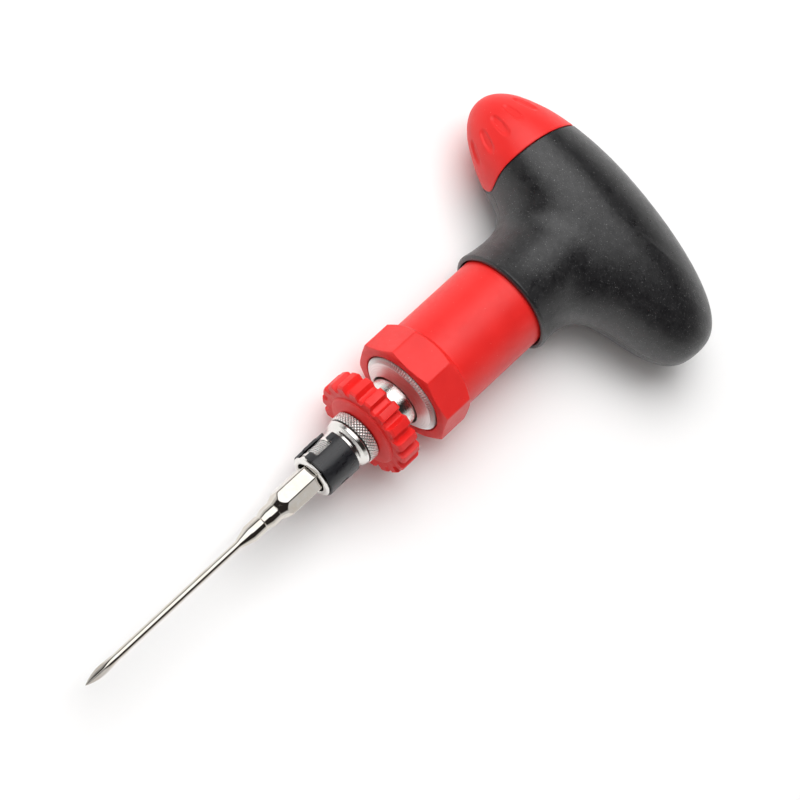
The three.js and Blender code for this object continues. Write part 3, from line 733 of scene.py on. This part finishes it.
def selector():
    angles = around(480)
    rows = np.concatenate(
        [
            np.arange(COLLAR_FRONT_Y + 0.06, SEAT_END_Y, 0.12),
            np.arange(SEAT_END_Y, -55.9, 0.5),
            np.arange(-55.9, -53.0, 0.12),
            np.linspace(-52.9, BARREL_END_Y - 0.3, 14),
        ]
    )
    front = selector_radius(angles, COLLAR_FRONT_Y)
    rings = [
        round_shaft(SEAT_RADIUS, SEAT_END_Y, angles),
        round_shaft(SEAT_RADIUS, COLLAR_FRONT_Y + 0.1, angles),
        round_shaft(SEAT_RADIUS + 0.1, COLLAR_FRONT_Y, angles),
        round_shaft(front - 0.16, COLLAR_FRONT_Y, angles),
        round_shaft(front - 0.05, COLLAR_FRONT_Y + 0.02, angles),
    ]
    rings += [round_shaft(selector_radius(angles, y), y, angles) for y in rows]
    rings += [
        round_shaft(BARREL_RADIUS - 0.3, BARREL_END_Y, angles),
        round_shaft(BARREL_BORE, BARREL_END_Y, angles),
        round_shaft(BARREL_BORE, SEAT_END_Y, angles),
    ]
    points, faces = stacked(rings, closed=True)
    return new_piece(
        "selector_red", points, faces, RED, "selector", ["selector_sleeve"], 38
    )


# ---- turned metal and the finger ring ----
def front_cap():
    serrations = 96
    serration_depth = 0.38

    def shape(angles, r, y):
        """Teeth round the rim, on the front side only."""
        depth = serration_depth * smooth((r - 9.4) / 0.15)
        wave = 0.5 + 0.5 * np.cos(angles * serrations)
        return r - depth * wave * (y < -62.0)

    corners = [
        (6.65, -65.1, 0.15), (9.4, -63.55, 0.1), (9.55, -63.4, 0.05), (10.1, -63.1, 0),
        (10.49, -62.8, 0.12), (10.49, -61.2, 0.1), (8.4, -61.2, 0.1), (8.4, -57.6, 0.1),
        (6.65, -57.6, 0.1),
    ]
    points, faces = turned(corners, serrations * 6, shape, 3)
    return new_piece("front_cap_nickel", points, faces, WASHER, "handle", ["front_cap"], 40)


def spindle():
    corners = [
        (0.0, -73.5, 0), (3.3, -73.5, 0), (3.3, -79.7, 0.1), (4.98, -79.7, 0.15), (4.98, -69.9, 0.05),
        (6.28, -69.9, 0.25), (6.28, -57.3, 0.3), (4.2, -57.3, 0.1), (4.2, -49.9, 0.05), (4.0, -49.9, 0),
        (4.0, -41.0, 0), (3.0, -41.0, 0.05), (3.0, -32.8, 0.05), (2.45, -32.8, 0.05),
        (2.45, -31.6, 0.05), (3.0, -31.6, 0.1), (2.6, SPINDLE_END_Y, 0.1), (0.0, SPINDLE_END_Y, 0),
    ]

    def shape(angles, r, y):
        """Two flats where the ratchet gear sits, which is the only part of radius 4."""
        if abs(r - 4.0) < 0.01:
            return np.minimum(4.2, 3.6 / np.maximum(np.abs(np.sin(angles)), 0.01))
        return r + 0 * angles

    points, faces = turned(corners, 160, shape)
    return new_piece("spindle_nickel", points, faces, NICKEL, "spindle", ["spindle"], 40)


RING_TEETH = 18
RING_RADIUS = 12.78
RING_GAP = 11.3


def ring_outline(angles):
    """Rounded teeth with flat tops and hollow gaps between them."""
    phase = ((angles * RING_TEETH / TAU + 0.5) % 1.0) - 0.5
    rise = smooth((0.35 - np.abs(phase)) / 0.15)
    hollow = 0.12 * np.cos(TAU * (np.abs(phase) - 0.5)) * (1 - rise)
    return RING_GAP + (RING_RADIUS - RING_GAP) * rise - hollow


def spinner_ring():
    def shape(angles, r, y):
        """The teeth's outline, drawn in by as much as the profile is inside its outermost radius."""
        if r < 9.6:
            return r + 0 * angles
        outline = ring_outline(angles)
        inset = RING_RADIUS - r
        return np.maximum(outline - inset, 9.35)

    corners = [
        (5.35, -76.9, 0.1), (6.4, -76.9, 0.3), (8.9, -76.28, 0.35), (9.3, -76.0, 0.18),
        (9.32, -75.75, 0.08), (10.4, -75.75, 0), (12.25, -75.9, 0.1), (RING_RADIUS, -75.35, 0.45),
        (RING_RADIUS, -70.75, 0.45), (12.3, -70.2, 0.25), (9.5, -70.2, 0), (5.35, -70.2, 0.1),
    ]
    points, faces = turned(corners, RING_TEETH * 24, shape, 4)
    return new_piece(
        "finger_ring_red", points, faces, RED, "spindle", ["spinner_ring"], 44
    )


KNURLS = 44
KNURL_PITCH = 0.92
KNURL_CREST = 6.44
KNURL_DEPTH = 0.44


def knurled_collar():
    """Two crossing sets of grooves, which run out at both ends."""
    front, back = -79.65, -77.15
    angles = around(KNURLS * 12)
    rings = [round_shaft(5.35, back, angles), round_shaft(5.35, front, angles)]
    for y in np.linspace(front, back, 46):
        left = np.abs((angles * KNURLS / TAU + y / KNURL_PITCH) % 1.0 - 0.5) * 2
        right = np.abs((angles * KNURLS / TAU - y / KNURL_PITCH) % 1.0 - 0.5) * 2
        height = np.minimum(np.minimum(left, right) * 2.4, 1.0)
        ends = np.minimum(y - front, back - y)
        radius = KNURL_CREST - KNURL_DEPTH * (1 - height) - 0.3 * smooth(1 - ends / 0.28) ** 2
        rings.append(round_shaft(radius, y, angles))
    points, faces = stacked(rings, closed=True)
    return new_piece(
        "collar_knurled", points, faces, KNURL_PLATE, "spindle", ["knurled_collar"], 28
    )


HEX_AF = 6.35
HEX_TURN = math.radians(4.5)


def bit_socket():
    def shape(angles, r, y):
        """The hexagonal socket in front, and round everywhere else."""
        if abs(r - 3.6) < 0.25 and y < -83:
            return polygon_radius(angles, 6, r - 0.185, HEX_TURN, 60)
        return r + 0 * angles

    corners = [
        (3.75, -90.7, 0), (4.98, -90.7, 0.12), (4.98, -89.6, 0.06), (4.2, -89.6, 0.05),
        (4.2, -85.2, 0.05), (4.98, -85.2, 0.06), (4.98, -81.9, 0.2), (5.35, -81.6, 0.2),
        (6.0, -81.0, 0.3), (6.28, -80.0, 0.15), (3.0, -80.0, 0.1), (3.0, -74.0, 0.2),
        (0.0, -74.0, 0), (0.0, -80.8, 0), (3.2, -80.8, 0), (3.2, -83.1, 0), (3.6, -83.1, 0),
        (3.6, -90.4, 0),
    ]
    points, faces = turned(corners, 144, shape)
    return new_piece("chuck_nickel", points, faces, NICKEL, "spindle", ["bit_socket"], 40)


def nose_ring():
    corners = [
        (3.95, -92.68, 0.2), (4.7, -92.68, 0.3), (5.39, -92.35, 0.25), (5.39, -92.1, 0.1),
        (4.95, -92.05, 0.05), (4.95, -91.0, 0.1), (3.95, -91.0, 0.1),
    ]
    points, faces = turned(corners, 128)
    return new_piece("nose_nickel", points, faces, NICKEL, "spindle", ["nose_ring"], 40)


def sleeve_spring():
    turns = np.linspace(0, 8, 8 * 44)
    angle = TAU * turns
    path = np.stack([4.72 * np.sin(angle), -89.4 + 0.5 * turns, 4.72 * np.cos(angle)], 1)
    points, faces = tube_along(path, 0.21, 10)
    return new_piece(
        "spring_coils", points, faces, STEEL, "spindle", ["sleeve_spring"], 60
    )


# ---- split sleeve ----
SLEEVE_OUT = 5.85
SLEEVE_IN = 5.3
SLEEVE_FRONT_Y = -91.8
SLEEVE_BACK_Y = -82.8
SLEEVE_TURN = math.radians(-4.5)


def box_distance(s, y, from_degrees, to_degrees, y0, y1, corner):
    """Distance to a rounded box laid out on the unrolled sleeve, negative inside."""
    s0, s1 = (math.radians(v) * SLEEVE_OUT for v in (from_degrees, to_degrees))
    u = np.abs(s - (s0 + s1) / 2) - (s1 - s0) / 2 + corner
    v = np.abs(y - (y0 + y1) / 2) - (y1 - y0) / 2 + corner
    return np.hypot(np.maximum(u, 0), np.maximum(v, 0)) + np.minimum(np.maximum(u, v), 0) - corner


def sleeve_distance(s, y):
    shell = box_distance(s, y, -49, 260, SLEEVE_FRONT_Y, SLEEVE_BACK_Y, 0.35)
    tongue = box_distance(s, y, 250, 271, -89.5, -85.3, 0.3)
    notch = box_distance(s, y, -62, -27, -89.8, -85.0, 0.35)
    window = box_distance(s, y, 72, 96, -88.7, -86.2, 0.3)
    return np.maximum(np.maximum(np.minimum(shell, tongue), -notch), -window)


def release_sleeve():
    """The unrolled outline is found on a grid, then wrapped round the drum."""
    step = 0.2
    s_values = np.arange(math.radians(-51) * SLEEVE_OUT, math.radians(297) * SLEEVE_OUT, step)
    y_values = np.arange(SLEEVE_FRONT_Y - 0.1, SLEEVE_BACK_Y + 0.3, step)
    grid_s, grid_y = np.meshgrid(s_values, y_values, indexing="ij")
    value = sleeve_distance(grid_s, grid_y)
    index, flat = {}, []

    def vertex(key, s, y):
        if key not in index:
            index[key] = len(flat)
            flat.append((s, y))
        return index[key]

    polygons = []
    for i in range(len(s_values) - 1):
        for j in range(len(y_values) - 1):
            corners = [(i, j), (i + 1, j), (i + 1, j + 1), (i, j + 1)]
            if min(value[c] for c in corners) >= 0:
                continue
            loop = []
            for a, b in zip(corners, corners[1:] + corners[:1]):
                if value[a] < 0:
                    loop.append(vertex(a, grid_s[a], grid_y[a]))
                if (value[a] < 0) != (value[b] < 0):
                    t = min(max(value[a] / (value[a] - value[b]), 0.04), 0.96)
                    s = grid_s[a] + t * (grid_s[b] - grid_s[a])
                    y = grid_y[a] + t * (grid_y[b] - grid_y[a])
                    loop.append(vertex(tuple(sorted((a, b))), s, y))
            polygons.append(loop)
    flat = np.array(flat)
    depth = np.clip(-sleeve_distance(flat[:, 0], flat[:, 1]) / 0.18, 0, 1)
    ease = 0.09 * (1 - np.sqrt(1 - (1 - depth) ** 2))
    angles = flat[:, 0] / SLEEVE_OUT + SLEEVE_TURN
    outer = round_shaft(SLEEVE_OUT - 0.01 - ease, 0.0, angles)
    inner = round_shaft(SLEEVE_IN + 0 * ease, 0.0, angles)
    outer[:, 1] = inner[:, 1] = flat[:, 1]
    count = len(flat)
    edges = {}  # a dictionary, because it keeps its order
    for loop in polygons:
        edges.update(dict.fromkeys(zip(loop, loop[1:] + loop[:1])))
    rim = [(a, b) for a, b in edges if (b, a) not in edges]
    faces = [list(loop) for loop in polygons]
    faces += [[v + count for v in loop[::-1]] for loop in polygons]
    faces += [[b, a, a + count, b + count] for a, b in rim]
    points = np.concatenate([outer, inner])
    faces = outward(points, faces)
    return new_piece(
        "sleeve_black", points, faces, SLEEVE_BLACK, "sleeve", ["release_sleeve"], 38
    )


# ---- needle bit ----
BIT_TIP_Y = -162.38
SPEAR_WIDE_Y = -157.4
SPEAR_HEEL_Y = -152.6
SHANK_Y = -104.3
BIT_END_Y = -83.4


def bit_radius(angles, y, r):
    """Spear, then needle and collars, then the hexagonal shank, as one radius."""
    if y < SPEAR_HEEL_Y:
        t = (y - BIT_TIP_Y) / (SPEAR_WIDE_Y - BIT_TIP_Y)
        fall = smooth((y - SPEAR_WIDE_Y) / (SPEAR_HEEL_Y - SPEAR_WIDE_Y))
        rise = math.sin(min(t, 1) * math.pi / 2) ** 0.85 if t < 1 else 1.0
        half_width = 1.2 * rise - (1.2 - 0.95) * fall
        half_height = 0.95 * rise
        power = 1.12 + 0.88 * fall
        across = np.abs(np.sin(angles)) / max(half_width, 1e-3)
        up = np.abs(np.cos(angles)) / max(half_height, 1e-3)
        return (across**power + up**power) ** (-1 / power)
    if y > SHANK_Y:
        return soft_min(r + 0 * angles, polygon_radius(angles, 6, HEX_AF / 2, HEX_TURN, 40), 0.08)
    return r + 0 * angles


def needle_bit():
    angles = around(192)
    corner = HEX_AF / math.sqrt(3)
    outline = rounded(
        [
            (0.95, SPEAR_HEEL_Y, 0), (0.95, -115.7, 1.5), (2.1, -112.0, 0.25), (2.1, -108.5, 0.12),
            (1.9, -108.2, 0.08), (2.5, -106.5, 0.2), (2.5, SHANK_Y, 0.1), (2.45, SHANK_Y + 0.1, 0.05),
            (corner + 0.2, -101.0, 0), (corner + 0.2, -84.3, 0), (corner - 0.6, BIT_END_Y, 0.1),
            (0.0, BIT_END_Y, 0),
        ],
        4,
    )
    outline = outline[:-1]  # the last ring, on the axis, is made as a pole below
    rings = [np.array([[0.0, BIT_TIP_Y, 0.0]])]
    for y in np.linspace(BIT_TIP_Y + 0.12, SPEAR_HEEL_Y - 0.05, 42):
        rings.append(round_shaft(bit_radius(angles, y, 0), y, angles))
    for (r0, y0), (r1, y1) in zip(outline, outline[1:]):
        fine = 18 if SHANK_Y < y0 < -101.5 else (10 if r1 < r0 - 0.5 else 1)
        for t in np.arange(fine) / fine:
            r, y = r0 + (r1 - r0) * t, y0 + (y1 - y0) * t
            rings.append(round_shaft(bit_radius(angles, y, r), y, angles))
    rings.append(round_shaft(bit_radius(angles, y1, r1), y1, angles))
    rings.append(np.array([[0.0, BIT_END_Y, 0.0]]))
    points, faces = stacked(rings)
    return new_piece("bit_needle", points, faces, BIT_PLATE, "bit", ["needle_bit"], 24)


# ---- build ----
rubber_grip()
storage_cap()
selector()
front_cap()
spindle()
spinner_ring()
knurled_collar()
bit_socket()
nose_ring()
sleeve_spring()
release_sleeve()
needle_bit()

# ---- better finishes for the CAD nodes that stay ----
KEPT = {
    "handle_core": RED,
    "cap_seal": SEAL,
    "ratchet_housing": ZINC,
    "rear_plate": ZINC,
    "front_bush": BRONZE,
    "rear_bush": BRONZE,
    "bit_magnet": MAGNET,
}
for name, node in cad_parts.items():
    if not node.hide_render:
        finish = KEPT.get(name, STEEL)
        for material_slot in node.material_slots:
            material_slot.material = finish


# ---- stage: floor, light, camera ----
def floor(size):
    half = size / 2
    mesh = bpy.data.meshes.new("floor")
    corners = [(-half, -half, 0), (half, -half, 0), (half, half, 0), (-half, half, 0)]
    mesh.from_pydata(corners, [], [(0, 1, 2, 3)])
    finish = Finish("floor_white", (0.93, 0.928, 0.925), 0.9, specular_ior_level=0.0)
    mesh.materials.append(finish.material)
    made = bpy.data.objects.new("floor", mesh)
    bpy.context.scene.collection.objects.link(made)


SKY_PALE_TO = 0.26  # heights on the sky's unit sphere
SKY_DARK_FROM = 0.44


def studio(horizon, overhead):
    """A sky of one radiance near the horizon and another overhead."""
    world = bpy.data.worlds.new("studio")
    bpy.context.scene.world = world
    world.use_nodes = True
    tree = world.node_tree
    background = tree.nodes["Background"]
    place = tree.nodes.new("ShaderNodeTexCoord")
    split = tree.nodes.new("ShaderNodeSeparateXYZ")
    ramp = tree.nodes.new("ShaderNodeValToRGB")
    tree.links.new(place.outputs["Generated"], split.inputs[0])
    tree.links.new(split.outputs[2], ramp.inputs[0])
    tree.links.new(ramp.outputs[0], background.inputs["Color"])
    elements = ramp.color_ramp.elements
    elements[0].position = SKY_PALE_TO
    elements[0].color = (horizon, horizon * 0.99, horizon * 0.98, 1)
    elements[1].position = SKY_DARK_FROM
    elements[1].color = (overhead, overhead * 0.86, overhead * 0.8, 1)
    background.inputs["Strength"].default_value = 1.0


def area_light(name, way, size, radiance, reflected=True):
    """A square light, as bright as a surface of that radiance, aimed at the tool."""
    place = ORIGIN + Vector(way)
    data = bpy.data.lights.new(name, "AREA")
    data.shape = "SQUARE"
    data.size = size
    data.energy = radiance * math.pi * size * size
    made = bpy.data.objects.new(name, data)
    bpy.context.scene.collection.objects.link(made)
    made.location = place
    made.rotation_euler = Vector(way).to_track_quat("Z", "Y").to_euler()
    made.visible_glossy = reflected


floor(3.0)
studio(0.75, 0.03)
area_light("softbox", (-0.58, 0.12, 1.50), 1.9, 1.6)
area_light("lift", (-0.55, 0.28, 1.48), 1.3, 3.0, reflected=False)
area_light("fill", (0.0, 0.0, 1.6), 3.0, 0.26, reflected=False)

CAMERA_TILT = math.radians(22.0)
CAMERA_ROLL = math.radians(47.3)
TOOL_ROLL = math.radians(4.5)  # how far the tool has rolled about its shaft, cap end up
CAMERA_DISTANCE = 0.7048
CAMERA_ASIDE = (-0.0004, -0.0014, 0)
LENS = 140.2
collar_centre = Vector((ORIGIN.x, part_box("selector_sleeve")[0].y, ORIGIN.z))
camera_data = bpy.data.cameras.new("camera")
camera_data.lens = LENS
camera_data.sensor_width = 36
camera = bpy.data.objects.new("camera", camera_data)
bpy.context.scene.collection.objects.link(camera)
turn = Matrix.Rotation(CAMERA_TILT, 3, "X") @ Matrix.Rotation(CAMERA_ROLL, 3, "Z")
turn = Matrix.Rotation(-TOOL_ROLL, 3, "Y") @ turn
back = turn @ Vector((0, 0, 1))
aside = turn @ Vector(CAMERA_ASIDE)
camera.matrix_world = Matrix.Translation(collar_centre + back * CAMERA_DISTANCE + aside) @ turn.to_4x4()
bpy.context.scene.camera = camera
bpy.context.scene.view_settings.view_transform = "Standard"
